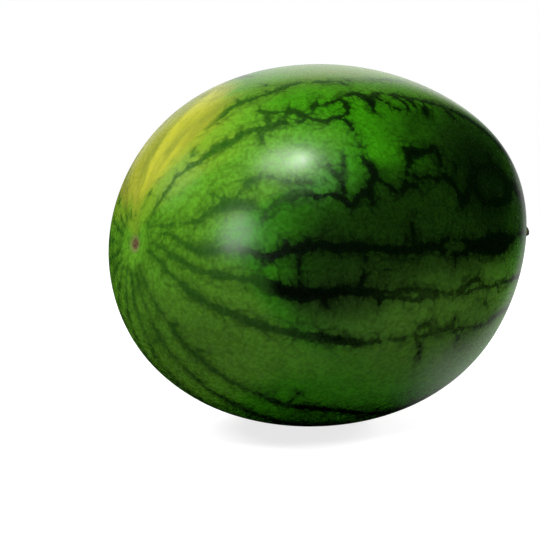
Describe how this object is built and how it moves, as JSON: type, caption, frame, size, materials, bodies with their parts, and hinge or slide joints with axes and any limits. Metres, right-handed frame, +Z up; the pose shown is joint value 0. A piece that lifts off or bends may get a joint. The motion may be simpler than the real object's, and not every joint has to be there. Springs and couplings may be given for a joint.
{
  "type": "watermelon",
  "caption": "Whole oval watermelon with a striped green rind and the cut stub of its stem, lying on a small flat spot.",
  "frame": {"origin": "middle of the flat spot that the fruit rests on, on the surface under it", "axes": "+Z up, +X along the fruit towards its stem end, -Y towards the side that shows best"},
  "size_m": [0.3166, 0.2341, 0.2334],
  "materials": {
    "rind": "waxy green rind, light mottled ground with dark veined stripes and a yellow ground spot",
    "stem": "dry green-brown ridged stem with a pale cut end"
  },
  "bodies": {
    "root": {"fruit": "rind", "stem_stub": "stem"}
  },
  "joints": []
}
